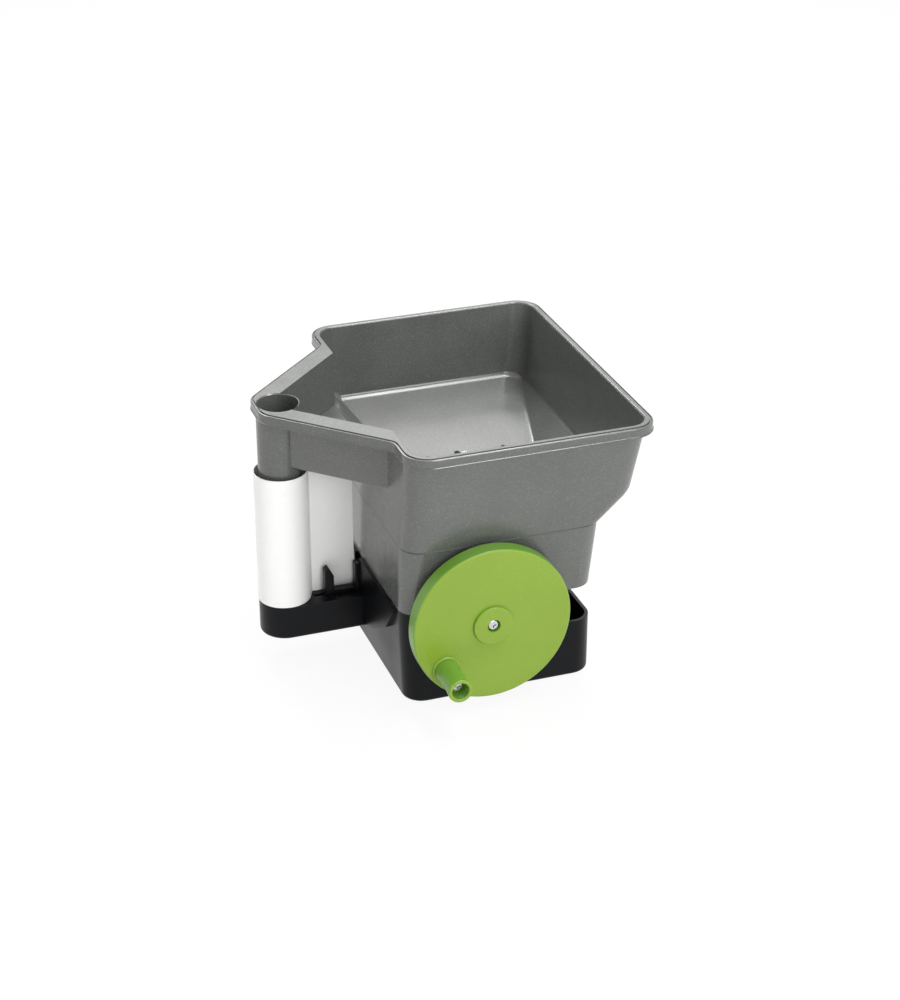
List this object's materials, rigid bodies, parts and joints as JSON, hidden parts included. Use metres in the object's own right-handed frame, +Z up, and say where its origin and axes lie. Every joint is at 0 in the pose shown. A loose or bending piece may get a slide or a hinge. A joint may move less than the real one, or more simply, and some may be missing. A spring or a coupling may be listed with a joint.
{
  "type": "handheld spreader",
  "caption": "Handheld seed and salt spreader: an open hopper on a tube handle, a base with a spinning rotor behind a throw slot, and a crank wheel with a knob.",
  "frame": {"origin": "on the ground below the crank wheel's axis, half way across the base", "axes": "+X forward, the way the seed is thrown; +Y away from the crank; +Z up"},
  "size_m": [0.2475, 0.2707, 0.1912],
  "materials": {
    "hopper_plastic": "moulded mid grey plastic with fine light specks, satin",
    "base_plastic": "moulded near-black plastic, satin",
    "crank_plastic": "moulded lime green plastic, soft gloss",
    "gear_plastic": "natural nylon",
    "shaft_steel": "drawn steel rod",
    "screw_steel": "bright zinc plated steel",
    "white_card": "bare white coated card"
  },
  "bodies": {
    "frame": {"hopper": "hopper_plastic", "base_housing": "base_plastic", "gear_bridge": "base_plastic", "wheel_screw": "screw_steel", "wheel_washer": "screw_steel", "panel_bush": "gear_plastic", "bridge_bush": "gear_plastic", "shelf_bush": "gear_plastic", "foot_bush": "gear_plastic", "base_screw_1": "screw_steel", "base_screw_2": "screw_steel", "base_screw_3": "screw_steel", "base_screw_4": "screw_steel", "bridge_screw_1": "screw_steel", "bridge_screw_2": "screw_steel", "handle_screw": "screw_steel", "card_sleeve": "white_card"},
    "crank": {"crank_wheel": "crank_plastic", "knob_screw": "screw_steel"},
    "knob": {"knob_sleeve": "crank_plastic"},
    "cross_drive": {"cross_shaft": "shaft_steel", "pinion": "gear_plastic", "drive_bevel": "gear_plastic", "shaft_lock_washer": "screw_steel"},
    "spindle_drive": {"spindle": "shaft_steel", "spindle_bevel": "gear_plastic", "rotor": "base_plastic", "agitator": "base_plastic", "cap_nut": "screw_steel", "spindle_lock_washer": "screw_steel"},
    "slide": {"flow_slide": "base_plastic"}
  },
  "joints": [
    {"name": "crank_spin", "type": "hinge", "parent": "frame", "child": "crank", "pos_m": [0, -0.1106, 0.0645], "axis": [0, 1, 0], "continuous": true},
    {"name": "knob_spin", "type": "hinge", "parent": "crank", "child": "knob", "pos_m": [-0.03332, -0.1237, 0.03654], "axis": [0, 1, 0], "continuous": true},
    {"name": "cross_shaft_spin", "type": "hinge", "parent": "frame", "child": "cross_drive", "pos_m": [0.024, 0, 0.0645], "axis": [0, 1, 0], "continuous": true},
    {"name": "spindle_spin", "type": "hinge", "parent": "frame", "child": "spindle_drive", "pos_m": [0.024, 0, 0.0645], "axis": [0, 0, 1], "continuous": true},
    {"name": "flow_slide_travel", "type": "slide", "parent": "frame", "child": "slide", "axis": [-1, 0, 0], "range_m": [0, 0.0075]}
  ],
  "couplings": [
    {"joint": "cross_shaft_spin", "follows": "crank_spin", "ratio": 3},
    {"joint": "spindle_spin", "follows": "crank_spin", "ratio": 3}
  ]
}
